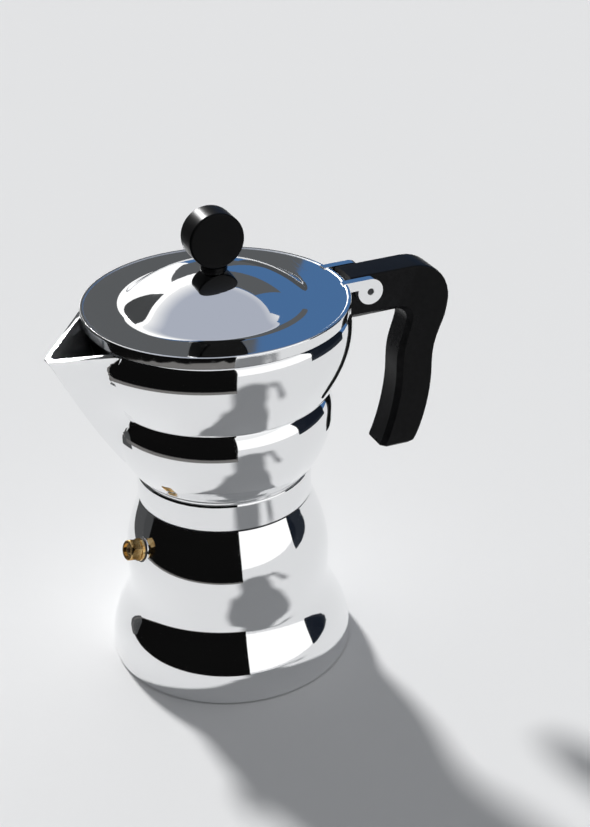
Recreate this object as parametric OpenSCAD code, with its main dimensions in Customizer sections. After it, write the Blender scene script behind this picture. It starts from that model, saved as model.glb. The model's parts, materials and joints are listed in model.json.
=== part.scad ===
// Three-cup stovetop moka pot: boiler, funnel, collector with a beak spout, hinged lid and plastic handle.
// Z is the pot's axis, the foot stands on Z = 0, the handle points along +X and the spout along -X.

/* [Boiler] */
// Outer radius of the foot
foot_r = 48; // [46:0.5:52]
// Outer radius of the waist above the foot
waist_r = 39.7; // [38:0.1:41]
// Outer radius of the barrel
barrel_r = 40.05; // [39:0.05:42]
// Outer radius of the short neck under the collar
neck_r = 33.6; // [33:0.1:33.8]
// Height of the ledge that the collar comes down to
ledge_z = 69; // [68:0.5:70]
// Wall of the boiler
boiler_wall = 3; // [2.5:0.1:3.4]
// Outer radius of the mouth that the collar goes over
mouth_r = 30.2; // [30:0.1:30.4]
// Radius of the opening for the funnel
mouth_bore_r = 27.4; // [27.3:0.1:27.8]
// Height of the mouth's rim
mouth_z = 79.2; // [78.8:0.1:79.6]

/* [Safety valve] */
// Direction of the valve round the pot, in degrees from the handle
valve_turn = 190; // [180:1:220]
// Upward tilt of the valve
valve_tilt = 16; // [0:1:20]
// Height of the valve where it leaves the shell
valve_z = 54.5; // [50:0.5:56]
// Width of the hexagon across its flats
valve_af = 7.8; // [7.6:0.1:8.4]
// Length of the hexagon
valve_hex_l = 4.4; // [4:0.1:5.4]

/* [Funnel] */
// Outer radius of the coffee basket
basket_r = 27; // [26:0.1:27.1]
// Depth of the basket's straight wall
basket_depth = 22; // [18:0.5:24]
// Thickness of the funnel's sheet
sheet = 0.9; // [0.7:0.1:1.1]
// Outer radius of the stem
stem_r = 6; // [5:0.5:7]
// Gap between the stem's end and the boiler's floor
stem_gap = 5; // [4:0.5:8]

/* [Filter and gasket] */
// Radius of each hole in the perforated discs
hole_r = 0.75; // [0.5:0.05:0.9]
// Number of rings of holes round the middle one
hole_rings = 5; // [3:1:5]
// Thickness of the gasket
gasket_t = 2.5; // [2:0.1:2.6]
// Inner radius of the gasket
gasket_bore_r = 24; // [23:0.5:25]

/* [Collector] */
// Outer radius of the collar
collar_r = 33.85; // [33.5:0.05:35]
// Height of the collar's upper edge
collar_top_z = 80.6; // [79:0.1:80.8]
// Greatest radius of the lower bowl
belly_r = 42.65; // [42:0.05:43]
// Depth of the groove between the two bowls
groove_depth = 2.1; // [1:0.1:2.2]
// Radius of the upper bowl's lower edge
ridge_r = 42.5; // [42:0.1:43]
// Height of the upper bowl's lower edge
ridge_z = 114.8; // [114:0.1:115.5]
// Greatest radius of the upper bowl
bowl_r = 50.6; // [50:0.1:51]
// Height of the collector's rim
rim_z = 145; // [144.8:0.1:145.1]
// Wall of the collector
bowl_wall = 2.7; // [2.4:0.1:2.9]

/* [Spout] */
// Distance of the spout's tip from the axis
tip_x = 65.1; // [62:0.1:68]
// Height of the tip
tip_z = 138.4; // [137:0.1:139]
// Distance from the axis at which the keel starts in the lower bowl
keel_x = 39.8; // [39.4:0.1:40]
// Height at which the keel starts in the lower bowl
keel_z = 90.4; // [90:0.1:91]
// Lean of the keel at its foot, from upright
keel_lean_low = 34; // [30:1:36]
// Lean of the keel at the tip, from upright
keel_lean_high = 24.5; // [22:0.5:28]
// Half of the angle between the spout's sides
beak_half = 46; // [43:0.5:47]
// Wall of the spout
beak_wall = 2.3; // [2:0.1:2.6]
// Width of the level edge round the spout's mouth
lip_w = 1.5; // [1.4:0.1:2]
// Outward curl of the lip
lip_curl = 0.5; // [0:0.1:0.8]

/* [Riser] */
// Outer radius of the riser at its foot
riser_r = 7.5; // [7:0.5:8]
// Radius of the riser's bore
riser_bore_r = 3.8; // [3:0.1:4]
// Height of the riser's top
riser_z = 130; // [120:1:132]

/* [Lid] */
// Radius of the lid's upper edge
lid_r = 50; // [49.5:0.1:50.2]
// Height of the flat ring round the dome
lid_z = 149.5; // [149.2:0.1:150]
// Radius at which the dome rises out of the ring
dome_r = 35; // [34:0.5:37]
// Height of the dome's top
dome_z = 162.2; // [160:0.1:164]
// Wall of the lid
lid_wall = 2; // [1.8:0.1:2.2]
// Outer radius of the lip that plugs the collector
plug_r = 46.6; // [46:0.1:46.8]
// Distance of the hinge from the axis
hinge_x = 58.4; // [58:0.1:59]
// Height of the hinge
hinge_z = 144.8; // [144.5:0.1:145]
// Radius of the round end of an ear
ear_r = 5.1; // [4.8:0.1:5.2]
// Thickness of an ear
ear_t = 3.2; // [3:0.1:3.4]

/* [Knob] */
// Radius of the drum
knob_r = 10.5; // [9.5:0.1:11]
// Thickness of the drum
knob_t = 10.5; // [10:0.1:11.5]
// Radius of the foot under the drum
knob_foot_r = 5; // [4.5:0.1:5.5]

/* [Handle] */
// Width of the handle
handle_w = 14; // [13:0.5:14]
// Bevel along the inner face
bevel = 2; // [1.5:0.1:2.5]
// Height of the arm's upper face
arm_top_z = 150; // [149.5:0.1:150]
// Height of the arm's underside
arm_bottom_z = 133; // [132.5:0.1:134]
// Gap between the lid's edge and the front of the arm
front_gap = 1.4; // [1.3:0.1:1.6]

/* [Hidden] */
$fn = 96;
part_clear = 0.3;
through = 1;

// Heights of the pieces that are stacked under the collector
flange_t = 1;
gasket_z = mouth_z + flange_t;
plate_z = gasket_z + gasket_t;
plate_t = 0.8;
ceiling_z = plate_z + plate_t;
floor_z = ceiling_z + 5.2;
floor_recess_z = ceiling_z + 2.6;
collar_bottom_z = ledge_z + 0.4;
collar_bore_r = mouth_r + 0.9;
seal_r = collar_bore_r - part_clear;
basket_floor_z = mouth_z - basket_depth;
stem_top_z = basket_floor_z - 8;
boiler_floor_z = 3.5;

// A smooth curve from a to d that leaves a towards b and reaches d from c
curve_steps = 14;
function curve_point(a, b, c, d, t) =
    let (s = 1 - t)
    s * s * s * a + 3 * s * s * t * b + 3 * s * t * t * c + t * t * t * d;
function curve(a, b, c, d, steps = curve_steps) = [
    for (i = [0 : steps])
        curve_point(a, b, c, d, i / steps)
];

// Points on a circle round c from angle a0 to a1
function arc(c, r, a0, a1, steps = 6) = [
    for (i = [0 : steps])
        let (a = a0 + (a1 - a0) * i / steps)
        c + r * [cos(a), sin(a)]
];

// A profile of radius against height, moved inwards by d
function inwards(points, d) = [for (p = points) [p.x - d, p.y]];
function backwards(points) = [for (i = [len(points) - 1 : -1 : 0]) points[i]];

// Solid through sections that are the same on both sides of the XZ plane. Each is given by its points with
// y >= 0, in order from one end of the section to the other.
module loft(halves) {
    m = len(halves[0]);
    n = 2 * m;
    last = len(halves) - 1;
    points = [
        for (half = halves)
            for (i = [0 : n - 1])
                let (p = half[i < m ? i : n - 1 - i])
                [p.x, i < m ? p.y : -p.y, p.z]
    ];
    sides = [
        for (k = [0 : last - 1])
            for (i = [0 : n - 1])
                let (a = k * n + i, b = k * n + (i + 1) % n)
                for (f = [[b, a, a + n], [b, a + n, b + n]])
                    f
    ];
    start = [for (i = [0 : m - 2]) [i, i + 1, n - 2 - i, n - 1 - i]];
    end = [for (f = start) [for (i = [3 : -1 : 0]) last * n + f[i]]];
    polyhedron(points, concat(sides, start, end));
}

// A straight round bar from one height to another
module bar(r, z0, z1) {
    translate([0, 0, z0])
        cylinder(r = r, h = z1 - z0);
}

// A round tube from one height to another
module tube(r, bore, z0, z1) {
    difference() {
        bar(r, z0, z1);
        bar(bore, z0 - through, z1 + through);
    }
}

// Rings of small holes, evenly spread, of spread_r in radius overall
module perforations(z0, z1, spread_r) {
    pitch = spread_r / hole_rings;
    for (ring = [0 : hole_rings])
        for (i = [0 : max(1, 6 * ring) - 1])
            rotate(i * 60 / max(1, ring))
                translate([ring * pitch, 0, 0])
                    bar(hole_r, z0, z1, $fn = 16);
}

/* ---- Boiler ---- */

// Outer line of the shell from the foot up to the neck
flare = curve([foot_r, 5], [foot_r, 17], [waist_r, 23], [waist_r, 32]);
barrel = curve([waist_r, 32], [waist_r + 0.1, 36], [barrel_r, 39], [barrel_r, 43], 4);
shoulder = curve([barrel_r, 43], [barrel_r, 53], [neck_r + 2.9, 60], [neck_r, ledge_z]);

// The valve's own frame: +X runs outwards along its axis from the shell
valve_seat_r = 38;
module at_valve() {
    rotate(valve_turn)
        translate([valve_seat_r, 0, valve_z])
            rotate([0, -valve_tilt, 0])
                children();
}

// A bar along the valve's axis
module valve_bar(r, x0, x1) {
    translate([x0, 0, 0])
        rotate([0, 90, 0])
            cylinder(r = r, h = x1 - x0);
}

valve_shank_r = 3.5;
valve_bore_r = valve_shank_r + 0.1;
valve_boss_r = 5;
valve_boss_x = 0.6;
valve_inner_x = -5;
nut_r = 6;
nut_seat_r = nut_r + part_clear;
nut_seat_x = valve_inner_x + 0.4;

module boiler_shell() {
    edge_r = 1.2;
    inner_edge = 5;
    rotate_extrude()
        polygon(concat(
            [[0, 0]],
            arc([foot_r - edge_r, edge_r], edge_r, -90, 0),
            flare,
            barrel,
            shoulder,
            [[mouth_r, ledge_z], [mouth_r, mouth_z - 0.6], [mouth_r - 0.6, mouth_z]],
            [[mouth_bore_r, mouth_z], [mouth_bore_r, 66]],
            backwards(curve([barrel_r - boiler_wall, 43], [barrel_r - boiler_wall, 55],
                [mouth_bore_r, 58], [mouth_bore_r, 66])),
            backwards(inwards(flare, boiler_wall + 0.2)),
            arc([foot_r - boiler_wall - 0.2 - inner_edge, boiler_floor_z + inner_edge], inner_edge, 0, -90),
            [[0, boiler_floor_z]]
        ));
}

module boiler() {
    color("silver")
    difference() {
        union() {
            boiler_shell();
            at_valve()
                valve_bar(valve_boss_r, -2.5, valve_boss_x);
        }
        at_valve() {
            valve_bar(valve_bore_r, valve_inner_x - 6, valve_boss_x + through);
            valve_bar(nut_seat_r, valve_inner_x - 8, nut_seat_x);
        }
    }
}

/* ---- Safety valve ---- */

washer_t = 0.6;
valve_flange_r = 4.4;
valve_flange_t = 1;
valve_hex_x = valve_boss_x + washer_t + valve_flange_t;
valve_end_x = valve_hex_x + valve_hex_l;
chamber_r = 2.7;
chamber_x = valve_inner_x + 1;
valve_port_r = 1.5;
piston_r = 2.2;
piston_t = 1.4;
rod_r = 0.9;
retainer_t = 1;
retainer_x = valve_end_x - 1.6;
spring_wire_r = 0.3;
spring_r = 1.75;
spring_turns = 6;

module valve_body() {
    color("goldenrod")
    at_valve()
        difference() {
            union() {
                valve_bar(valve_shank_r, valve_inner_x - 3.6, valve_hex_x);
                valve_bar(valve_flange_r, valve_boss_x + washer_t, valve_hex_x);
                intersection() {
                    translate([valve_hex_x, 0, 0])
                        rotate([0, 90, 0])
                            cylinder(d = valve_af / cos(30), h = valve_hex_l, $fn = 6);
                    translate([valve_hex_x, 0, 0])
                        rotate([0, 90, 0])
                            cylinder(r1 = valve_af / 2 + 3.5, r2 = valve_af / 2 - 0.2, h = valve_hex_l);
                }
            }
            valve_bar(chamber_r, chamber_x, valve_end_x + through);
            valve_bar(valve_port_r, valve_inner_x - 5, chamber_x + through);
        }
}

module valve_washer() {
    color("dimgray")
    at_valve()
        difference() {
            valve_bar(valve_flange_r, valve_boss_x, valve_boss_x + washer_t);
            valve_bar(valve_bore_r, valve_boss_x - through, valve_boss_x + washer_t + through);
        }
}

module valve_nut() {
    nut_t = 3;
    color("goldenrod")
    at_valve()
        difference() {
            translate([nut_seat_x - nut_t, 0, 0])
                rotate([0, 90, 0])
                    cylinder(r = nut_r, h = nut_t, $fn = 6);
            valve_bar(valve_shank_r, valve_inner_x - 4, valve_inner_x + 1);
        }
}

module valve_retainer() {
    color("darkgoldenrod")
    at_valve()
        difference() {
            valve_bar(chamber_r, retainer_x, retainer_x + retainer_t);
            valve_bar(rod_r + 0.1, retainer_x - through, retainer_x + retainer_t + through);
        }
}

module valve_stem() {
    color("gold")
    at_valve() {
        valve_bar(piston_r, chamber_x, chamber_x + piston_t);
        valve_bar(rod_r, chamber_x, valve_end_x - 0.4);
    }
}

// The spring fills the chamber between the piston and the retainer
module valve_spring() {
    x0 = chamber_x + piston_t;
    length = retainer_x - x0;
    color("lightgray")
    at_valve()
        translate([x0 + spring_wire_r, 0, 0])
            rotate([0, 90, 0])
                linear_extrude(length - 2 * spring_wire_r, twist = -360 * spring_turns,
                    slices = 16 * spring_turns, $fn = 8)
                    polygon(arc([spring_r, 0], spring_wire_r, 0, 315, 7));
}

/* ---- Funnel ---- */

module funnel() {
    cone_z = stem_top_z;
    color("lightsteelblue")
    rotate_extrude()
        polygon([
            [stem_r, boiler_floor_z + stem_gap], [stem_r, cone_z], [basket_r, basket_floor_z],
            [basket_r, mouth_z], [mouth_r - 0.4, mouth_z], [mouth_r - 0.4, gasket_z],
            [basket_r - sheet, gasket_z], [basket_r - sheet, basket_floor_z + sheet],
            [basket_r - sheet - 1.4, basket_floor_z + 0.4], [stem_r - sheet, cone_z + 0.6],
            [stem_r - sheet, boiler_floor_z + stem_gap + 2.4]
        ]);
}

module funnel_sieve() {
    sieve_r = basket_r - sheet - 0.1;
    z0 = basket_floor_z + sheet;
    color("gainsboro")
    difference() {
        bar(sieve_r, z0, z0 + 0.8);
        perforations(z0 - through, z0 + 0.8 + through, sieve_r - 5);
    }
}

/* ---- Gasket and filter ---- */

module gasket() {
    color("ivory")
    tube(seal_r, gasket_bore_r, gasket_z, plate_z);
}

module filter_plate() {
    color("gainsboro")
    difference() {
        bar(seal_r, plate_z, ceiling_z);
        perforations(plate_z - through, ceiling_z + through, gasket_bore_r - 4);
    }
}

/* ---- Collector ---- */

lower_bowl = curve([33.1, collar_top_z + 0.8], [37.4, 84.6], [belly_r - 0.2, 95.5], [belly_r, 103]);
valley_r = ridge_r - groove_depth;
valley_z = ridge_z - 1.9;
shoulder_z = valley_z - 6.9;
groove = concat(
    curve([belly_r, shoulder_z], [belly_r, shoulder_z + 2.6],
        [valley_r + 1.5, valley_z - 1.7], [valley_r, valley_z], 6),
    [[ridge_r - 0.3, ridge_z - 0.4]]
);
upper_bowl = curve([ridge_r, ridge_z], [ridge_r + 2.5, ridge_z + 4.8], [bowl_r, 128], [bowl_r, 139.5]);

module bowl_outside() {
    rotate_extrude()
        polygon(concat(
            [[0, collar_bottom_z], [collar_r - 0.5, collar_bottom_z], [collar_r, collar_bottom_z + 0.5]],
            [[collar_r, collar_top_z - 0.8], [collar_r - 0.4, collar_top_z], [33.1, collar_top_z + 0.1]],
            lower_bowl,
            groove,
            upper_bowl,
            curve([bowl_r, 139.5], [bowl_r, 142.5], [50, 144.3], [49.2, rim_z], 6),
            [[0, rim_z]]
        ));
}

mouth_inner_r = 47.2;

module bowl_inside() {
    d = bowl_wall;
    inner_r = belly_r - d - 0.1;
    throat_r = valley_r - d + 0.4;
    rotate_extrude()
        polygon(concat(
            [[0, floor_z]],
            arc([30, floor_z + 4], 4, -90, -50, 3),
            curve([34.4, floor_z + 3], [37.6, 95], [inner_r, 97], [inner_r, 103]),
            curve([inner_r, shoulder_z - 2], [inner_r, shoulder_z + 1],
                [throat_r, valley_z - 4], [throat_r, valley_z], 5),
            curve([throat_r, valley_z + 1], [throat_r, 117.5],
                [bowl_r - d - 0.1, 128], [bowl_r - d - 0.1, 137]),
            [[mouth_inner_r, 141], [mouth_inner_r, rim_z + through], [0, rim_z + through]]
        ));
}

// Radius of the bowls at a height, passing over the groove between them
body_outline = [for (p = concat(lower_bowl, upper_bowl)) [p.y, p.x]];
function body_r(z) = lookup(z, body_outline);

// Half of the width over which the spout grows out of the bowls, by height
root_widths = [[90, 2], [98, 4], [104, 7.5], [116, 14.5], [123, 18.9], [138, 20.4], [145, 23.4]];
function root_half(z) = lookup(z, root_widths);

// Rise of a section from the keel towards the bowl
lip_rises = [[0, 0], [12, 5], [15, 5.95], [19, 6.55]];
function lip_rise(reach) = lookup(reach, lip_rises);

// Point on the keel, s = 0 at its foot and s = 1 at the tip
function keel_point(s) =
    let (foot = [-keel_x, keel_z], tip = [-tip_x, tip_z], third = norm(tip - foot) / 3)
    curve_point(
        foot,
        foot + third * [-sin(keel_lean_low), cos(keel_lean_low)],
        tip - third * [-sin(keel_lean_high), cos(keel_lean_high)],
        tip, s);

// Where a section of the spout ends: y is half its width, and x is on the bowl, moved inwards by d
function root_point(k, d, inset, x) =
    let (z = k.y + lip_rise(x - k.x), y = max(1, root_half(z) - inset), r = body_r(z) - d)
    [-sqrt(r * r - y * y), y, z];
function root(k, d, inset) =
    let (p = root_point(k, d, inset, -45), q = root_point(k, d, inset, p.x))
    root_point(k, d, inset, q.x);

// Radius of the keel's edge, which is fuller towards the tip
function nose_r(s) = 1 + 2.4 * pow(max(0, min(1, s) - 0.5) / 0.5, 2);

// Nose and flank of the spout, moved inwards by d, in plan: the flank starts at the last point
function spout_nose(s, d) =
    let (r = nose_r(s), x = keel_point(s).x + d / sin(beak_half) + r)
    [for (a = [90 - beak_half, 28, 12, 3]) [x - r * cos(a), r * sin(a)]];

// A round corner from a to b with its point at c, without its ends
function corner(a, c, b) = [for (t = [0.3, 0.65]) (1 - t) * (1 - t) * a + 2 * t * (1 - t) * c + t * t * b];

// Half of a section of the spout's outside, from inside the wall of the bowl to the keel
function outer_section(s, curl) =
    let (k = keel_point(s), nose = spout_nose(s, -curl), e = root(k, 0.2, 0), i = root(k, 2.5, 0))
    let (run = 1 / tan(beak_half), apex = nose[0].x - nose[0].y * run, r = norm([e.x, e.y]))
    let (reach = -apex * cos(beak_half) - sqrt(max(0, r * r - pow(apex * sin(beak_half), 2))))
    let (c = [apex + reach * cos(beak_half), reach * sin(beak_half)], end = [e.x, e.y])
    let (y = max(nose[0].y + 0.1, c.y - (norm(c - end) + 1.5) * sin(beak_half)))
    let (flank = [apex + y * run, y])
    let (plan = concat([[i.x, i.y], end], corner(end, c, flank), [flank], nose))
    [for (p = plan) [p.x, p.y, k.y + lip_rise(p.x - k.x)]];

// Half of a section of the spout's channel, from inside the bowl to the keel, with a wall of d
function inner_section(s, d) =
    let (k = keel_point(s), nose = spout_nose(s, d), e = root(k, bowl_wall, 3), i = root(k, 12, 3))
    let (run = 1 / tan(beak_half), apex = nose[0].x - nose[0].y * run)
    let (y = max(nose[0].y + 0.1, 0.7 * e.y), flank = [apex + y * run, y])
    let (plan = concat([[i.x, i.y], [e.x, e.y], flank], nose))
    [for (p = plan) [p.x, p.y, k.y + lip_rise(p.x - k.x)]];

module spout_outside() {
    body = [for (i = [0 : 17]) outer_section(i * 0.053, 0)];
    lip = [for (step = [[0.945, 0.15], [0.975, 0.6], [1, 1]]) outer_section(step[0], lip_curl * step[1])];
    loft(concat(body, lip));
}

// The channel that joins the inside of the bowl to the inside of the spout
module spout_inside() {
    steps = 18;
    loft([
        for (i = [0 : steps])
            let (s = 0.08 + i / steps)
            let (thinner = beak_wall + lip_curl - lip_w)
            inner_section(s, beak_wall - thinner * max(0, min(1, (s - 0.9) * 10)))
    ]);
}

lug_half = 3.6;
lug_z0 = 136.8;
lug_z1 = 142.2;
lug_x = 62.5;
handle_screw_x = 57.5;
screw_r = 1.9;

// The tongue at the back that carries the handle
module handle_lug() {
    translate([48.4, -lug_half, lug_z0])
        cube([lug_x - 48.4, 2 * lug_half, lug_z1 - lug_z0]);
}

module collector() {
    color("silver")
    difference() {
        union() {
            difference() {
                union() {
                    bowl_outside();
                    spout_outside();
                }
                bowl_inside();
                spout_inside();
            }
            handle_lug();
        }
        bar(collar_bore_r, collar_bottom_z - through, ceiling_z);
        bar(gasket_bore_r, ceiling_z - through, floor_recess_z);
        bar(riser_r, floor_recess_z - through, floor_z + through);
        insert_space();
        translate([handle_screw_x, 0, 0])
            bar(screw_r + 0.2, lug_z0 - through, lug_z1 + through);
    }
}

module column() {
    color("silver")
    rotate_extrude()
        polygon(concat(
            [[riser_bore_r, floor_recess_z], [riser_r, floor_recess_z], [riser_r, floor_z + 3]],
            curve([riser_r, floor_z + 3], [6.2, 100], [5.6, 112], [5.4, riser_z - 6], 8),
            [[5.4, riser_z - 6], [4.9, riser_z - 6], [4.9, riser_z], [riser_bore_r, riser_z]]
        ));
}

module column_cap() {
    outlet_r = 1.4;
    cap_z = riser_z - 6;
    color("gainsboro")
    difference() {
        rotate_extrude()
            polygon(concat(
                [[4.9, cap_z], [6.6, cap_z], [6.6, riser_z + 4]],
                arc([4.6, riser_z + 4], 2, 0, 90),
                [[0, riser_z + 6], [0, riser_z + 4.6], [4.9, riser_z + 4.6]]
            ));
        for (side = [0, 180])
            rotate(90 + side)
                translate([0, 0, riser_z + 2.4])
                    rotate([0, 90, 0])
                        cylinder(r = outlet_r, h = 9);
    }
}

/* ---- Handle ---- */

front_r = lid_r + front_gap;
half_w = handle_w / 2;
insert_t = 2;
insert_z = 139;
insert_half = 2.4;

// Inner and outer line of the handle, from the front of the arm to the end of the grip. Their points match.
handle_inner = concat(
    [[front_r - 6, arm_bottom_z]],
    curve([71, arm_bottom_z], [75.5, arm_bottom_z], [77.2, 130], [76.2, 126], 10),
    curve([75.9, 125], [74.8, 121], [72.4, 117], [72.3, 108], 7),
    curve([72.3, 106], [72.2, 97], [69.3, 84], [65.2, 75.2], 9),
    [[65, 74.3], [65.5, 73.6]]
);
handle_outer = concat(
    [[front_r - 6, arm_top_z]],
    arc([79, arm_top_z - 15], 15, 90, -15, 10),
    curve([93.3, 130], [92.2, 123], [87.3, 119], [87.3, 107], 7),
    curve([87.3, 105], [87.2, 96], [84.7, 84], [80.6, 75.9], 9),
    [[79.5, 74.3], [78, 73.3]]
);

// Half of a section of the handle between its inner line at p and its outer line at q
edge_r = 1;
function handle_section(p, q, inset) =
    let (depth = norm(q - p), u = (q - p) / depth, w = handle_w / 2 - inset)
    let (half = [
        [0, w - bevel], [bevel, w],
        [depth - edge_r, w], [depth - 0.3 * edge_r, w - 0.3 * edge_r], [depth, w - edge_r]
    ])
    [for (h = half) [p.x + u.x * h.x, h.y, p.y + u.y * h.x]];

module handle_body() {
    last = len(handle_inner) - 1;
    loft([for (i = [0 : last]) handle_section(handle_inner[i], handle_outer[i], i == last ? 0.8 : 0)]);
}

module handle() {
    color("#1c1c1e")
    difference() {
        handle_body();
        rotate_extrude()
            polygon([
                [0, arm_bottom_z - through], [front_r, arm_bottom_z - through], [front_r, arm_top_z - 1],
                [front_r + 2, arm_top_z + 1], [0, arm_top_z + 1]
            ]);
        translate([front_r - 2, -lug_half - 0.2, lug_z0 - 0.2])
            cube([lug_x + 0.3 - front_r + 2, 2 * lug_half + 0.4, lug_z1 - lug_z0 + 0.4]);
        translate([handle_screw_x, 0, 0]) {
            bar(screw_r + 0.2, arm_bottom_z + screw_head_t - 0.1, lug_z1 - 1);
            bar(screw_head_r + 0.2, arm_bottom_z - through, arm_bottom_z + screw_head_t);
        }
        hinge_bar(pin_r, -half_w - through, half_w + through);
    }
}

screw_head_r = 3.4;
screw_head_t = 1.6;

module insert_space() {
    translate([handle_screw_x - 3.5, -insert_half, insert_z])
        cube([7, 2 * insert_half, insert_t]);
}

module handle_insert() {
    color("gray")
    difference() {
        insert_space();
        translate([handle_screw_x, 0, 0])
            bar(screw_r, insert_z - through, insert_z + insert_t + through);
    }
}

module handle_screw() {
    slot_w = 0.9;
    color("gray")
    translate([handle_screw_x, 0, 0])
        difference() {
            union() {
                bar(screw_head_r, arm_bottom_z, arm_bottom_z + screw_head_t);
                bar(screw_r, arm_bottom_z, lug_z1 - 0.4);
            }
            translate([-4, -slot_w / 2, arm_bottom_z - through])
                cube([8, slot_w, through + 0.8]);
        }
}

/* ---- Lid and hinge ---- */

pin_r = 1.3;
pin_running = 0.05;
ear_gap = 0.2;
ear_y0 = half_w + ear_gap;
ear_y1 = ear_y0 + ear_t;

// A bar along the hinge
module hinge_bar(r, y0, y1) {
    translate([hinge_x, y0, hinge_z])
        rotate([-90, 0, 0])
            cylinder(r = r, h = y1 - y0);
}

module hinge_pin() {
    color("silver")
    hinge_bar(pin_r, -ear_y1 + 0.4, ear_y1 - 0.4);
}

// One ear: a bar out of the lid's rim with a round end that hangs below it
module ear() {
    bar_t = 3.8;
    translate([0, ear_y1, 0])
        rotate([90, 0, 0])
            linear_extrude(ear_t) {
                translate([hinge_x, hinge_z])
                    circle(r = ear_r);
                translate([46, hinge_z + ear_r - bar_t])
                    square([hinge_x - 46, bar_t]);
            }
}

// Sphere of the dome
dome_h = dome_z - lid_z;
dome_sphere_r = (dome_r * dome_r + dome_h * dome_h) / (2 * dome_h);
dome_half = asin(dome_r / dome_sphere_r);

function dome_arc(d, reach) = arc([0, dome_z - dome_sphere_r], dome_sphere_r - d, 90 - reach, 90, 16);

module lid_shell() {
    fillet_reach = dome_half * 0.9;
    side_r = lid_r - 0.4;
    rotate_extrude()
        polygon(concat(
            [[0, dome_z - lid_wall]],
            backwards(dome_arc(lid_wall, dome_half * 0.93)),
            [[dome_r + 2, lid_z - lid_wall], [plug_r - 2, lid_z - lid_wall], [plug_r - 2, 141.4]],
            [[plug_r - 0.5, 141.4], [plug_r, 141.9], [plug_r, rim_z + part_clear]],
            [[side_r, rim_z + part_clear], [lid_r, lid_z - 0.9]],
            arc([lid_r - 0.5, lid_z - 0.2], 0.5, 0, 90, 4),
            [[lid_r - 1.2, lid_z + 0.3], [lid_r - 1.6, lid_z]],
            curve([dome_r + 3, lid_z], [dome_r + 0.8, lid_z], [dome_r - 0.4, lid_z + 0.4],
                [dome_sphere_r * sin(fillet_reach), dome_z - dome_sphere_r * (1 - cos(fillet_reach))], 6),
            dome_arc(0, fillet_reach)
        ));
}

module lid() {
    color("silver")
    difference() {
        union() {
            lid_shell();
            for (side = [0, 1])
                mirror([0, side, 0])
                    difference() {
                        ear();
                        bar(lid_r - 2, hinge_z - 15, dome_z);
                    }
            bar(knob_boss_r, washer_z, dome_z - 0.4);
        }
        bar(knob_bore_r, dome_z - 8, dome_z + 2);
        hinge_bar(pin_r + pin_running, -ear_y1 - through, ear_y1 + through);
    }
}

/* ---- Knob ---- */

knob_bore_r = 2;
knob_boss_r = 5.5;
knob_z = dome_z + 1.2 + knob_r;
knob_screw_top_z = knob_z;
washer_z = dome_z - lid_wall - 0.6;

// The foot's underside follows the dome
module knob_foot() {
    reach = asin(knob_foot_r / dome_sphere_r);
    color("#1c1c1e")
    difference() {
        rotate_extrude()
            polygon(concat(
                backwards(arc([0, dome_z - dome_sphere_r], dome_sphere_r + 0.04, 90 - reach, 90, 4)),
                [[knob_foot_r, dome_z + 0.9], [knob_foot_r - 0.5, dome_z + 1.4], [0, dome_z + 1.4]]
            ));
        bar(knob_bore_r, dome_z - 2, dome_z + 3);
    }
}

module knob() {
    edge = 0.8;
    half = knob_t / 2;
    color("#1c1c1e")
    difference() {
        translate([0, 0, knob_z])
            rotate([90, 0, 0])
                rotate_extrude()
                    polygon(concat(
                        [[0, -half]],
                        arc([knob_r - edge, -half + edge], edge, -90, 0, 4),
                        arc([knob_r - edge, half - edge], edge, 0, 90, 4),
                        [[0, half]]
                    ));
        bar(12, dome_z - 2, dome_z + 1.4);
        bar(knob_bore_r - 0.1, dome_z, knob_screw_top_z);
    }
}

module knob_washer() {
    color("silver")
    tube(4.8, knob_bore_r, washer_z - 0.7, washer_z);
}

module knob_screw() {
    head_r = 3.3;
    head_t = 2.2;
    head_z = washer_z - 0.7 - head_t;
    color("silver")
    difference() {
        union() {
            bar(head_r, head_z, head_z + head_t);
            bar(knob_bore_r - 0.1, head_z, knob_screw_top_z - 1);
        }
        translate([0, 0, head_z - through])
            cylinder(r = 1.6, h = through + 1.4, $fn = 6);
    }
}

boiler();
valve_body();
valve_washer();
valve_nut();
valve_retainer();
valve_stem();
valve_spring();
funnel();
funnel_sieve();
gasket();
filter_plate();
collector();
column();
column_cap();
handle();
handle_screw();
handle_insert();
hinge_pin();
lid();
knob_foot();
knob();
knob_washer();
knob_screw();
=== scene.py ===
import json
import math

import bpy
from mathutils import Matrix, Vector


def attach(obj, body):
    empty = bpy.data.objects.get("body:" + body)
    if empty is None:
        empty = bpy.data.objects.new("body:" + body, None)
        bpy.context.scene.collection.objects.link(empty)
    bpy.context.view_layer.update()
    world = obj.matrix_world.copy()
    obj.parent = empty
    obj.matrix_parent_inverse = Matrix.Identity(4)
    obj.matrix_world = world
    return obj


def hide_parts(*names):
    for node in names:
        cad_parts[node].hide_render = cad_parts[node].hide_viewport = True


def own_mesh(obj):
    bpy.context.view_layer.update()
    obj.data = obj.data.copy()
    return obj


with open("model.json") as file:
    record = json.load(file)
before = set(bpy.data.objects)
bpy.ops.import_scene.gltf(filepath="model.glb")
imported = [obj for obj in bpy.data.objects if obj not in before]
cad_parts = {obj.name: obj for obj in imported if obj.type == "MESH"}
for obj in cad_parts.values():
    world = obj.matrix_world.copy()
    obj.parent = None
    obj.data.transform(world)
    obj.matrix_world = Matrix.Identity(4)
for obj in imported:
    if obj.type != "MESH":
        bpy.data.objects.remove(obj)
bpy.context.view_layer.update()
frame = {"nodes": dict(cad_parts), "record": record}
nodes = frame["nodes"]
scene = bpy.context.scene
print("frame loaded:", len(nodes), "nodes")


def deselectAll():
    if bpy.context.object and bpy.context.object.mode != "OBJECT":
        bpy.ops.object.mode_set(mode="OBJECT")
    bpy.ops.object.select_all(action="DESELECT")


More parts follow.
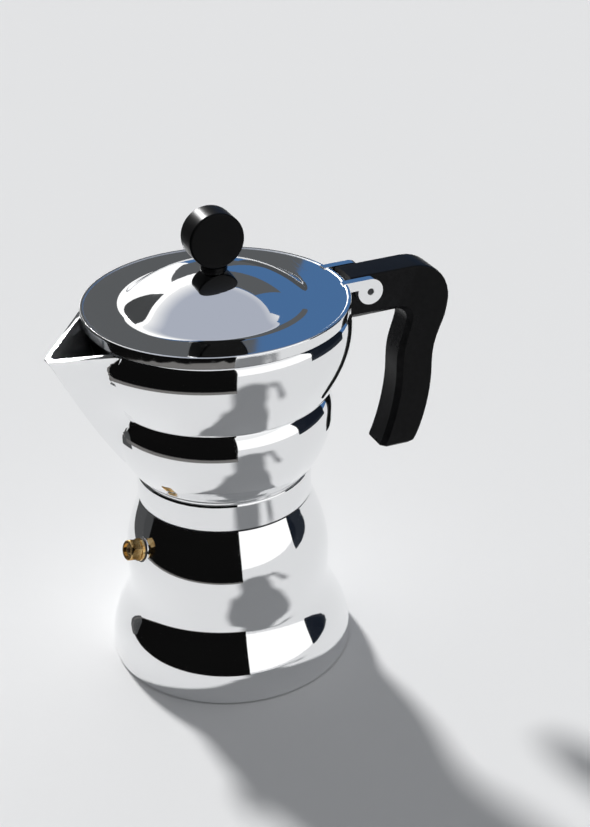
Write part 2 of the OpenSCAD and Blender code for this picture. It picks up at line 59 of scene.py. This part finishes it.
def makeActive(piece):
    deselectAll()
    piece.select_set(True)
    bpy.context.view_layer.objects.active = piece


def aroundPot(azimuth, distance, height):
    turn = math.radians(azimuth)
    return Vector((distance * math.cos(turn), distance * math.sin(turn), height))


def feed(tree, socket, value):
    # a socket takes either a link from another node or a fixed value
    if isinstance(value, bpy.types.NodeSocket):
        tree.links.new(value, socket)
    else:
        socket.default_value = value


def addNode(tree, kind, inputs, **settings):
    node = tree.nodes.new(kind)
    for name, value in settings.items():
        setattr(node, name, value)
    for name, value in inputs.items():
        feed(tree, node.inputs[name], value)
    return node


def mathNode(tree, operation, a, b=0.0):
    return addNode(tree, "ShaderNodeMath", {0: a, 1: b}, operation=operation).outputs[0]


def addUp(tree, a, b):
    return mathNode(tree, "ADD", a, b)


def times(tree, a, b):
    return mathNode(tree, "MULTIPLY", a, b)


def larger(tree, a, b):
    return mathNode(tree, "MAXIMUM", a, b)


def mapRange(tree, value, source, target=(0.0, 1.0)):
    node = addNode(tree, "ShaderNodeMapRange", {"Value": value})
    for socket, limit in zip(("From Min", "From Max", "To Min", "To Max"), source + target):
        feed(tree, node.inputs[socket], limit)
    return node.outputs["Result"]


def noiseOver(tree, vector, scale, detail):
    inputs = {"Vector": vector, "Scale": scale, "Detail": detail}
    return addNode(tree, "ShaderNodeTexNoise", inputs).outputs["Fac"]


def mixColour(tree, factor, first, second):
    # sockets 0, 6 and 7 are the factor and the two colours
    return addNode(tree, "ShaderNodeMix", {0: factor, 6: first, 7: second}, data_type="RGBA").outputs[2]


def newGroup(name, inputs, outputs):
    group = bpy.data.node_groups.new(name, "ShaderNodeTree")
    for socketName, kind, default in inputs:
        socket = group.interface.new_socket(socketName, in_out="INPUT", socket_type=kind)
        if default is not None:
            socket.default_value = default
    for socketName, kind in outputs:
        group.interface.new_socket(socketName, in_out="OUTPUT", socket_type=kind)
    return group, group.nodes.new("NodeGroupInput").outputs, group.nodes.new("NodeGroupOutput").inputs


def placeGroup(tree, group, inputs):
    return addNode(tree, "ShaderNodeGroup", inputs, node_tree=group).outputs


# hairline scratches in two directions, and soft smears left by hands and cloths
marksForm = {
    "strands": ((0.6, (900, 40, 30)), (2.1, (35, 900, 60))), "strandRange": (0.68, 0.8),
    "smearScale": 26.0, "smearRange": (0.42, 0.75),
}


def buildHandlingMarks():
    group, source, sink = newGroup(
        "handlingMarks",
        [("Vector", "NodeSocketVector", None), ("Scale", "NodeSocketFloat", 1.0),
         ("Smears", "NodeSocketFloat", 0.5)],
        [("Scratches", "NodeSocketFloat"), ("Smear", "NodeSocketFloat")])
    scaled = addNode(group, "ShaderNodeVectorMath", {0: source["Vector"], "Scale": source["Scale"]},
                     operation="SCALE").outputs[0]
    strands = []
    for turn, stretch in marksForm["strands"]:
        mapping = addNode(group, "ShaderNodeMapping",
                          {"Vector": scaled, "Rotation": (turn, turn, turn), "Scale": stretch})
        strand = noiseOver(group, mapping.outputs[0], 1.0, detail=1.0)
        strands.append(mapRange(group, strand, marksForm["strandRange"]))
    feed(group, sink["Scratches"], larger(group, *strands))
    cloud = noiseOver(group, scaled, marksForm["smearScale"], detail=3.0)
    smear = mapRange(group, cloud, marksForm["smearRange"])
    feed(group, sink["Smear"], times(group, smear, source["Smears"]))
    return group


wearForm = {"noiseScale": 420.0, "noiseRange": (0.35, 0.6), "least": 0.3}


def buildEdgeWear():
    # mask that is 1 on outer edges and 0 elsewhere, broken up by noise
    group, source, sink = newGroup(
        "edgeWear",
        [("Vector", "NodeSocketVector", None), ("Low", "NodeSocketFloat", 0.52),
         ("High", "NodeSocketFloat", 0.6)],
        [("Wear", "NodeSocketFloat")])
    pointiness = group.nodes.new("ShaderNodeNewGeometry").outputs["Pointiness"]
    edges = mapRange(group, pointiness, (source["Low"], source["High"]))
    noise = noiseOver(group, source["Vector"], wearForm["noiseScale"], detail=2.0)
    broken = mapRange(group, noise, wearForm["noiseRange"], (wearForm["least"], 1.0))
    feed(group, sink["Wear"], times(group, edges, broken))
    return group


def buildTurnedRings():
    # concentric tool marks round the Z axis of the object
    group, source, sink = newGroup(
        "turnedRings",
        [("Vector", "NodeSocketVector", None), ("Pitch", "NodeSocketFloat", 0.0006)],
        [("Rings", "NodeSocketFloat")])
    x, y, z = addNode(group, "ShaderNodeSeparateXYZ", {0: source["Vector"]}).outputs
    radius = mathNode(group, "SQRT", addUp(group, times(group, x, x), times(group, y, y)))
    turns = mathNode(group, "DIVIDE", addUp(group, radius, z), source["Pitch"])
    noise = addNode(group, "ShaderNodeTexNoise", {"Scale": 1.0, "Detail": 1.0}, noise_dimensions="1D")
    feed(group, noise.inputs["W"], turns)
    feed(group, sink["Rings"], noise.outputs["Fac"])
    return group


# how far a face must turn inwards, downwards or upwards to count as unpolished
hollowForm = {"inwards": (-0.1, -0.3), "downwards": (-0.75, -0.9), "upwards": (0.5, 0.8)}


def buildHollowSide():
    # 1 on the walls, floor and underside that the polishing wheel doesn't reach, and 0 outside
    group, source, sink = newGroup(
        "hollowSide",
        [("Vector", "NodeSocketVector", None), ("Floor Radius", "NodeSocketFloat", 0.0)],
        [("Inside", "NodeSocketFloat")])
    flat = addNode(group, "ShaderNodeVectorMath", {0: source["Vector"], 1: (1, 1, 0)},
                   operation="MULTIPLY").outputs[0]
    outwards = addNode(group, "ShaderNodeVectorMath", {0: flat}, operation="NORMALIZE").outputs[0]
    radius = addNode(group, "ShaderNodeVectorMath", {0: flat}, operation="LENGTH").outputs["Value"]
    surface = group.nodes.new("ShaderNodeTexCoord").outputs["Normal"]
    facing = addNode(group, "ShaderNodeVectorMath", {0: outwards, 1: surface}, operation="DOT_PRODUCT")
    rise = addNode(group, "ShaderNodeSeparateXYZ", {0: surface}).outputs[2]
    wall = mapRange(group, facing.outputs["Value"], hollowForm["inwards"])
    under = mapRange(group, rise, hollowForm["downwards"])
    within = mathNode(group, "LESS_THAN", radius, source["Floor Radius"])
    floor = times(group, mapRange(group, rise, hollowForm["upwards"]), within)
    feed(group, sink["Inside"], larger(group, larger(group, wall, under), floor))
    return group


handlingMarks = buildHandlingMarks()
edgeWear = buildEdgeWear()
turnedRings = buildTurnedRings()
hollowSide = buildHollowSide()


def startMaterial(name, look, metallic=0.0):
    material = bpy.data.materials.new(name)
    material.use_nodes = True
    tree = material.node_tree
    shader = tree.nodes["Principled BSDF"].inputs
    shader["Base Color"].default_value = look["colour"]
    shader["Roughness"].default_value = look["roughness"]
    shader["Specular IOR Level"].default_value = look.get("specular", 0.5)
    shader["Metallic"].default_value = metallic
    coords = tree.nodes.new("ShaderNodeTexCoord").outputs["Object"]
    return material, tree, shader, coords


def addBump(tree, shader, height, strength, distance):
    bump = addNode(tree, "ShaderNodeBump", {"Height": height, "Strength": strength, "Distance": distance})
    feed(tree, shader["Normal"], bump.outputs[0])


castForm = {"grainRange": (0.3, 0.7), "bumpDepth": 0.001}


def polishedCasting(name, look):
    material, tree, shader, coords = startMaterial(name, look, 1.0)
    marks = placeGroup(tree, handlingMarks, {"Vector": coords, "Scale": 1.0, "Smears": 1.0})
    hollow = placeGroup(tree, hollowSide, {"Vector": coords, "Floor Radius": look["floorRadius"]})
    inside = hollow["Inside"]
    grain = noiseOver(tree, coords, look["grainScale"], detail=2.0)
    smeared = mapRange(tree, marks["Smear"], (0, 1), (look["roughness"], look["smeared"]))
    polished = addUp(tree, smeared, times(tree, marks["Scratches"], look["scratched"]))
    satin = mapRange(tree, grain, castForm["grainRange"], look["insideRoughness"])
    # sockets 0, 2 and 3 are the factor and the two numbers
    blend = addNode(tree, "ShaderNodeMix", {0: inside, 2: polished, 3: satin}, data_type="FLOAT")
    feed(tree, shader["Roughness"], blend.outputs[0])
    feed(tree, shader["Base Color"], mixColour(tree, inside, look["colour"], look["insideColour"]))
    sway = noiseOver(tree, coords, look["swayScale"], detail=1.0)
    rough = times(tree, times(tree, grain, inside), look["insideGrain"])
    height = addUp(tree, times(tree, sway, look["sway"]), rough)
    addBump(tree, shader, height, 1.0, castForm["bumpDepth"])
    return material


brushedForm = {
    "marksScale": 1.5, "ringRange": (0.3, 0.7), "bumpDepth": 0.0001,
    "brightest": 0.06, "dullest": 0.08,  # how far the tool marks move the roughness either way
    "smeared": 0.08,
}


def brushedMetal(name, look):
    form = brushedForm
    material, tree, shader, coords = startMaterial(name, look, 1.0)
    rings = placeGroup(tree, turnedRings, {"Vector": coords, "Pitch": look["pitch"]})["Rings"]
    marks = placeGroup(tree, handlingMarks, {"Vector": coords, "Scale": form["marksScale"], "Smears": 1.0})
    smear = marks["Smear"]
    worn = placeGroup(tree, edgeWear, {"Vector": coords})["Wear"]
    limits = (look["roughness"] - form["brightest"], look["roughness"] + form["dullest"])
    varied = mapRange(tree, rings, form["ringRange"], limits)
    feed(tree, shader["Roughness"], addUp(tree, varied, times(tree, smear, form["smeared"])))
    stained = mixColour(tree, smear, look["colour"], look["stain"])
    feed(tree, shader["Base Color"], mixColour(tree, worn, stained, look["edge"]))
    addBump(tree, shader, rings, look["bump"], form["bumpDepth"])
    return material


plasticForm = {
    "marksScale": 0.8, "bumpDepth": 0.0002, "wearLow": 0.53, "wearHigh": 0.62,
    "handled": 0.07, "wornGloss": 0.1,  # how much handling and worn edges take from the roughness
}


def mouldedPlastic(name, look):
    form = plasticForm
    material, tree, shader, coords = startMaterial(name, look)
    shader["IOR"].default_value = look["ior"]
    marks = placeGroup(tree, handlingMarks, {"Vector": coords, "Scale": form["marksScale"], "Smears": 1.0})
    edges = {"Vector": coords, "Low": form["wearLow"], "High": form["wearHigh"]}
    worn = placeGroup(tree, edgeWear, edges)["Wear"]
    limits = (look["roughness"], look["roughness"] - form["handled"])
    rubbed = mapRange(tree, marks["Smear"], (0, 1), limits)
    feed(tree, shader["Roughness"], mathNode(tree, "SUBTRACT", rubbed, times(tree, worn, form["wornGloss"])))
    feed(tree, shader["Base Color"], mixColour(tree, worn, look["colour"], look["edge"]))
    stipple = noiseOver(tree, coords, look["stippleScale"], detail=2.0)
    addBump(tree, shader, stipple, look["stipple"], form["bumpDepth"])
    return material


rubberForm = {
    "toneRange": (0.35, 0.7), "dullRange": (0.3, 0.7), "bump": 0.25, "bumpDepth": 0.0004,
    "shiniest": 0.1, "dullest": 0.05,  # how far the speckle moves the roughness either way
}


def softRubber(name, look):
    form = rubberForm
    material, tree, shader, coords = startMaterial(name, look)
    speckle = noiseOver(tree, coords, look["speckleScale"], detail=4.0)
    tone = mapRange(tree, speckle, form["toneRange"])
    feed(tree, shader["Base Color"], mixColour(tree, tone, look["colour"], look["stain"]))
    limits = (look["roughness"] - form["shiniest"], look["roughness"] + form["dullest"])
    feed(tree, shader["Roughness"], mapRange(tree, speckle, form["dullRange"], limits))
    addBump(tree, shader, speckle, form["bump"], form["bumpDepth"])
    return material


# the castings are mirror bright outside and satin inside, with a faint sway from hand polishing
mirrorLook = {
    "colour": (0.90, 0.905, 0.91, 1), "roughness": 0.035, "smeared": 0.055, "scratched": 0.05,
    "insideColour": (0.62, 0.63, 0.64, 1), "insideRoughness": (0.31, 0.41), "insideGrain": 0.04,
    "grainScale": 900.0, "sway": 0.012, "swayScale": 38.0, "floorRadius": 0.036,
}
lidLook = dict(mirrorLook, floorRadius=0.0)
satinLook = dict(mirrorLook, colour=(0.64, 0.65, 0.66, 1), roughness=0.33, smeared=0.4)
sheetLook = {
    "colour": (0.76, 0.77, 0.78, 1), "stain": (0.66, 0.65, 0.62, 1), "edge": (0.86, 0.87, 0.88, 1),
    "roughness": 0.3, "pitch": 0.0005, "bump": 0.35,
}
steelLook = {
    "colour": (0.58, 0.58, 0.59, 1), "stain": (0.48, 0.47, 0.46, 1), "edge": (0.75, 0.75, 0.76, 1),
    "roughness": 0.28, "pitch": 0.0003, "bump": 0.3,
}
# painted shade: the hinge pin is coloured near black to stand in for the shade of the recess that it sits in
paintedShadeSteelLook = dict(
    steelLook, colour=(0.035, 0.036, 0.038, 1), stain=(0.02, 0.02, 0.021, 1), edge=(0.09, 0.09, 0.095, 1),
)
brassLook = {
    "colour": (0.60, 0.33, 0.085, 1), "stain": (0.30, 0.14, 0.035, 1), "edge": (0.92, 0.68, 0.32, 1),
    "roughness": 0.11, "pitch": 0.0004, "bump": 0.12,
}
# painted shade and dark reflection: the valve stem is coloured near black to stand in for the shaded hole in
# the valve's face and the dark that it reflects
paintedShadeBrassLook = dict(
    brassLook, colour=(0.10, 0.05, 0.016, 1), stain=(0.05, 0.025, 0.01, 1), edge=(0.3, 0.17, 0.06, 1),
)
plasticLook = {
    "colour": (0.0025, 0.0025, 0.0028, 1), "edge": (0.012, 0.012, 0.013, 1), "roughness": 0.34,
    "specular": 0.085, "ior": 1.5, "stipple": 0.08, "stippleScale": 2600.0,
}
gasketLook = {
    "colour": (0.80, 0.78, 0.72, 1), "stain": (0.66, 0.60, 0.50, 1),
    "roughness": 0.62, "speckleScale": 160.0,
}
washerLook = {
    "colour": (0.06, 0.05, 0.045, 1), "stain": (0.03, 0.026, 0.022, 1),
    "roughness": 0.7, "speckleScale": 160.0,
}

# each finish is the way it is made, its look and the CAD nodes that take it
finishes = {
    "castAluminium": (polishedCasting, mirrorLook, ["boiler", "collector"]),
    "lidAluminium": (polishedCasting, lidLook, ["lid"]),
    "satinAluminium": (polishedCasting, satinLook, ["column"]),
    "sheetAluminium": (brushedMetal, sheetLook, ["funnel", "funnel_sieve", "filter_plate", "column_cap"]),
    "plainSteel": (brushedMetal, steelLook,
                   ["handle_screw", "handle_insert", "knob_washer", "knob_screw", "valve_spring"]),
    # the hinge pin's near black is painted shade of its recess
    "paintedShadeSteel": (brushedMetal, paintedShadeSteelLook, ["hinge_pin"]),
    "turnedBrass": (brushedMetal, brassLook, ["valve_body", "valve_retainer", "valve_nut"]),
    # the valve stem's near black is painted shade and dark reflection of the valve's hole
    "paintedShadeBrass": (brushedMetal, paintedShadeBrassLook, ["valve_stem"]),
    "blackPlastic": (mouldedPlastic, plasticLook, ["handle", "knob", "knob_foot"]),
    "gasketRubber": (softRubber, gasketLook, ["gasket"]),
    "washerFibre": (softRubber, washerLook, ["valve_washer"]),
}
materials = {}
for finish, (make, look, names) in finishes.items():
    materials[finish] = make(finish, look)
    for name in names:
        nodes[name].data.materials.clear()
        nodes[name].data.materials.append(materials[finish])
print("materials made:", len(materials))


mergeReach = 1e-6
# the CAD nodes that get a smooth copy, with the widest angle in degrees that is shaded smooth, and the height
# in metres below which broad flat faces stay flat up to their rounded edges
smoothCopies = {
    "boiler": {"angle": 30},
    "collector": {"angle": 30, "flatBelow": 0.082},
    "lid": {"angle": 36, "flatBelow": math.inf},
    "column": {"angle": 24},
    "handle": {"angle": 24, "flatBelow": math.inf},
    "knob": {"angle": 24, "flatBelow": math.inf},
    "knob_foot": {"angle": 24, "flatBelow": math.inf},
    "gasket": {"angle": 24},
    "valve_body": {"angle": 24, "flatBelow": math.inf},
    "valve_spring": {"angle": 60},
}
bodyOf = {name: body for body, names in frame["record"]["behaviour"]["bodies"].items() for name in names}


def flattenFaces(surface, top):
    zone = surface.vertex_groups.new(name="flatZone")
    zone.add([vertex.index for vertex in surface.data.vertices if vertex.co.z < top], 1, "REPLACE")
    flatten = surface.modifiers.new("flatten", "WEIGHTED_NORMAL")
    flatten.keep_sharp = True
    flatten.weight = 100  # the largest face at a corner decides
    flatten.vertex_group = zone.name
    bpy.ops.object.modifier_apply(modifier=flatten.name)


def makeSmoothCopy(name, angle, flatBelow=None):
    # the same surface with its loose triangles joined, so that reflections run over it unbroken
    surface = bpy.data.objects.new(name + "Surface", nodes[name].data.copy())
    scene.collection.objects.link(surface)
    makeActive(surface)
    bpy.ops.mesh.customdata_custom_splitnormals_clear()
    bpy.ops.object.mode_set(mode="EDIT")
    bpy.ops.mesh.select_all(action="SELECT")
    bpy.ops.mesh.remove_doubles(threshold=mergeReach)
    bpy.ops.object.mode_set(mode="OBJECT")
    bpy.ops.object.shade_smooth_by_angle(angle=math.radians(angle))
    if flatBelow:
        flattenFaces(surface, flatBelow)
    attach(surface, bodyOf[name])
    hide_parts(name)
    return surface


surfaces = {name: makeSmoothCopy(name, **settings) for name, settings in smoothCopies.items()}
print("smooth copies made:", len(surfaces))


def pressSpring():
    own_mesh(surfaces["valve_spring"])


pressSpring()


# one form of ridge for both threads, in metres
threadForm = {
    "pitch": 0.003, "height": 0.00062, "bite": 0.00012,  # bite is how deep its foot is sunk in the wall
    "halfFoot": 0.36,  # half its width at the foot, as a share of the pitch
    "crestShare": 0.3,  # its width at the crest, as a share of that at the foot
    "steps": 150, "smooth": 35,
}
# side is 1 where the ridge stands out from a wall and -1 where it stands in
threads = {
    "boilerThread": {"body": "boiler", "radius": 0.0302, "side": 1, "low": 0.0723, "turns": 1.7},
    "collarThread": {"body": "collector", "radius": 0.0311, "side": -1, "low": 0.0708, "turns": 1.2},
}


def makeThread(name, body, radius, side, low, turns):
    deselectAll()
    bpy.ops.mesh.primitive_plane_add(size=1, location=(0, 0, 0))
    ridge = bpy.context.object
    ridge.name = name
    foot = radius - side * threadForm["bite"]
    crest = radius + side * threadForm["height"]
    half = threadForm["pitch"] * threadForm["halfFoot"]
    top = half * threadForm["crestShare"]
    corners = [(foot, -half), (crest, -top), (foot, half), (crest, top)]
    for vertex, (x, z) in zip(ridge.data.vertices, corners):
        vertex.co = (x, 0, z + low)
    wind = ridge.modifiers.new("wind", "SCREW")
    wind.angle = math.tau * turns
    wind.screw_offset = threadForm["pitch"] * turns
    wind.steps = wind.render_steps = threadForm["steps"]
    wind.use_merge_vertices = False
    makeActive(ridge)
    bpy.ops.object.modifier_apply(modifier=wind.name)
    bpy.ops.object.mode_set(mode="EDIT")
    bpy.ops.mesh.select_all(action="SELECT")
    bpy.ops.mesh.fill_holes(sides=4)
    bpy.ops.mesh.normals_make_consistent(inside=False)
    bpy.ops.object.mode_set(mode="OBJECT")
    bpy.ops.object.shade_smooth_by_angle(angle=math.radians(threadForm["smooth"]))
    ridge.data.materials.append(materials["sheetAluminium"])
    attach(ridge, body)


for name, settings in threads.items():
    makeThread(name, **settings)
print("threads cut:", len(threads))


floorForm = {"size": 8.0, "level": -0.0001}
floorLook = {"colour": (0.83, 0.83, 0.83, 1), "roughness": 0.9, "specular": 0.0}


def makeFloor():
    deselectAll()
    bpy.ops.mesh.primitive_plane_add(size=floorForm["size"], location=(0, 0, floorForm["level"]))
    floor = bpy.context.object
    floor.name = "floor"
    floor.data.materials.append(startMaterial("floorPaint", floorLook)[0])


# sheets that only the polished surfaces see, each swept round the pot between two azimuths: low and high are
# the distance and height of its two edges, and lean turns the high edge on by that many degrees
screenSteps = 48
blackPaper = (0.004, 0.004, 0.004, 1)
greyPaper = (0.105, 0.11, 0.115, 1)
screens = {
    "blackScreen": {"azimuths": (-207, -97), "low": (0.33, 0.0), "high": (0.33, 0.42), "colour": blackPaper},
    "blackFoot": {"azimuths": (-207, -97), "low": (0.236, 0.001), "high": (0.33, 0.001),
                  "colour": blackPaper},
    "shadedFoot": {"azimuths": (-215, -97), "low": (0.213, 0.001), "high": (0.236, 0.001),
                   "colour": (0.17, 0.165, 0.16, 1)},
    "shadedSide": {"azimuths": (-255, -207), "low": (0.33, 0.0), "high": (0.33, 0.42),
                   "colour": (0.06, 0.062, 0.064, 1)},
    "sideFoot": {"azimuths": (-255, -207), "low": (0.19, 0.001), "high": (0.33, 0.001),
                 "colour": (0.075, 0.077, 0.079, 1)},
    "brightScreen": {"azimuths": (-97, -20), "low": (1.2, -0.05), "high": (1.2, 0.9),
                     "colour": (1, 1, 1, 1), "strength": 1.15},
    "darkScreen": {"azimuths": (-33, 8), "low": (0.9, -0.05), "high": (0.9, 0.85),
                   "colour": (0.008, 0.011, 0.018, 1)},
    "darkFoot": {"azimuths": (-33, 8), "low": (0.45, 0.001), "high": (0.9, 0.001),
                 "colour": (0.02, 0.024, 0.032, 1)},
    "whiteScreen": {"azimuths": (76, 137), "low": (1.5, 0.0), "high": (1.5, 1.6),
                    "colour": (1, 1, 1, 1), "strength": 1.15},
    "blueScreen": {"azimuths": (8, 76), "low": (1.6, 0.0), "high": (1.6, 2.2),
                   "colour": (0.068, 0.16, 0.34, 1)},
    "greyScreen": {"azimuths": (56.6, 77.5), "low": (1.4, 0.30), "high": (1.4, 0.98), "lean": 14,
                   "colour": greyPaper},
    "highShade": {"azimuths": (34, 74), "low": (1.4, 0.98), "high": (1.4, 1.9), "colour": greyPaper},
    "backShade": {"azimuths": (20, 64), "low": (1.35, -0.05), "high": (1.35, 0.30),
                  "colour": (0.075, 0.08, 0.085, 1)},
}


def makeGlow(name, colour, strength):
    material = bpy.data.materials.new(name)
    material.use_nodes = True
    tree = material.node_tree
    glow = addNode(tree, "ShaderNodeEmission", {"Color": colour, "Strength": strength})
    feed(tree, tree.nodes["Material Output"].inputs["Surface"], glow.outputs[0])
    return material


def makeScreen(name, azimuths, low, high, colour, lean=0, strength=1.0):
    deselectAll()
    bpy.ops.mesh.primitive_plane_add(size=1, location=(0, 0, 0))
    screen = bpy.context.object
    screen.name = name
    bpy.ops.object.mode_set(mode="EDIT")
    bpy.ops.mesh.merge(type="CENTER")
    bpy.ops.mesh.extrude_region_move(TRANSFORM_OT_translate={"value": (1, 0, 0)})
    bpy.ops.object.mode_set(mode="OBJECT")
    first, last = azimuths
    for vertex, (distance, height), turn in zip(screen.data.vertices, (low, high), (0, lean)):
        vertex.co = aroundPot(first + turn, distance, height)
    sweep = screen.modifiers.new("sweep", "SCREW")
    sweep.angle = math.radians(last - first)
    sweep.steps = sweep.render_steps = screenSteps
    sweep.use_smooth_shade = False
    makeActive(screen)
    bpy.ops.object.modifier_apply(modifier=sweep.name)
    screen.data.materials.append(makeGlow(name + "Paper", colour, strength))
    screen.visible_camera = False
    screen.visible_diffuse = False
    screen.visible_shadow = False


room = {
    "walls": (0.93, 0.935, 0.94, 1), "ceiling": (0.43, 0.46, 0.54, 1), "ceilingRange": (0.70, 0.84),
    "ambient": (0.27, 0.278, 0.29, 1), "background": (0.86, 0.87, 0.88, 1),
}


def makeWorld():
    world = bpy.data.worlds.new("studio")
    world.use_nodes = True
    scene.world = world
    tree = world.node_tree
    direction = tree.nodes.new("ShaderNodeTexCoord").outputs["Generated"]
    height = addNode(tree, "ShaderNodeSeparateXYZ", {0: direction}).outputs[2]
    overhead = mapRange(tree, height, room["ceilingRange"])
    mirrored = mixColour(tree, overhead, room["walls"], room["ceiling"])
    ray = tree.nodes.new("ShaderNodeLightPath").outputs
    soft = mixColour(tree, ray["Is Glossy Ray"], room["ambient"], mirrored)
    seen = mixColour(tree, ray["Is Camera Ray"], soft, room["background"])
    feed(tree, tree.nodes["Background"].inputs["Color"], seen)


lampForm = {"azimuth": 95, "height": 31, "strength": 3.95, "angle": 7.0}


def makeLamp():
    lamp = bpy.data.objects.new("lamp", bpy.data.lights.new("lamp", "SUN"))
    lamp.data.energy = lampForm["strength"]
    lamp.data.angle = math.radians(lampForm["angle"])
    lamp.rotation_euler = (0, math.radians(90 - lampForm["height"]), math.radians(lampForm["azimuth"]))
    scene.collection.objects.link(lamp)


view = {
    "azimuth": -110, "distance": 0.5394, "height": 0.3896, "down": 28.2, "heading": -22.99, "roll": -1.48,
    "lens": 69.65, "sensor": 36, "nearest": 0.01,
}


def makeCamera():
    camera = bpy.data.objects.new("camera", bpy.data.cameras.new("camera"))
    camera.data.lens = view["lens"]
    camera.data.sensor_width = view["sensor"]
    camera.data.clip_start = view["nearest"]
    place = Matrix.Translation(aroundPot(view["azimuth"], view["distance"], view["height"]))
    heading = Matrix.Rotation(math.radians(view["heading"]), 4, "Z")
    tilt = Matrix.Rotation(math.radians(90 - view["down"]), 4, "X")
    roll = Matrix.Rotation(math.radians(view["roll"]), 4, "Z")
    camera.matrix_world = place @ heading @ tilt @ roll
    scene.collection.objects.link(camera)
    scene.camera = camera


makeFloor()
for name, settings in screens.items():
    makeScreen(name, **settings)
makeWorld()
makeLamp()
makeCamera()
scene.view_settings.view_transform = "Standard"
print("stage set:", len(screens), "screens")
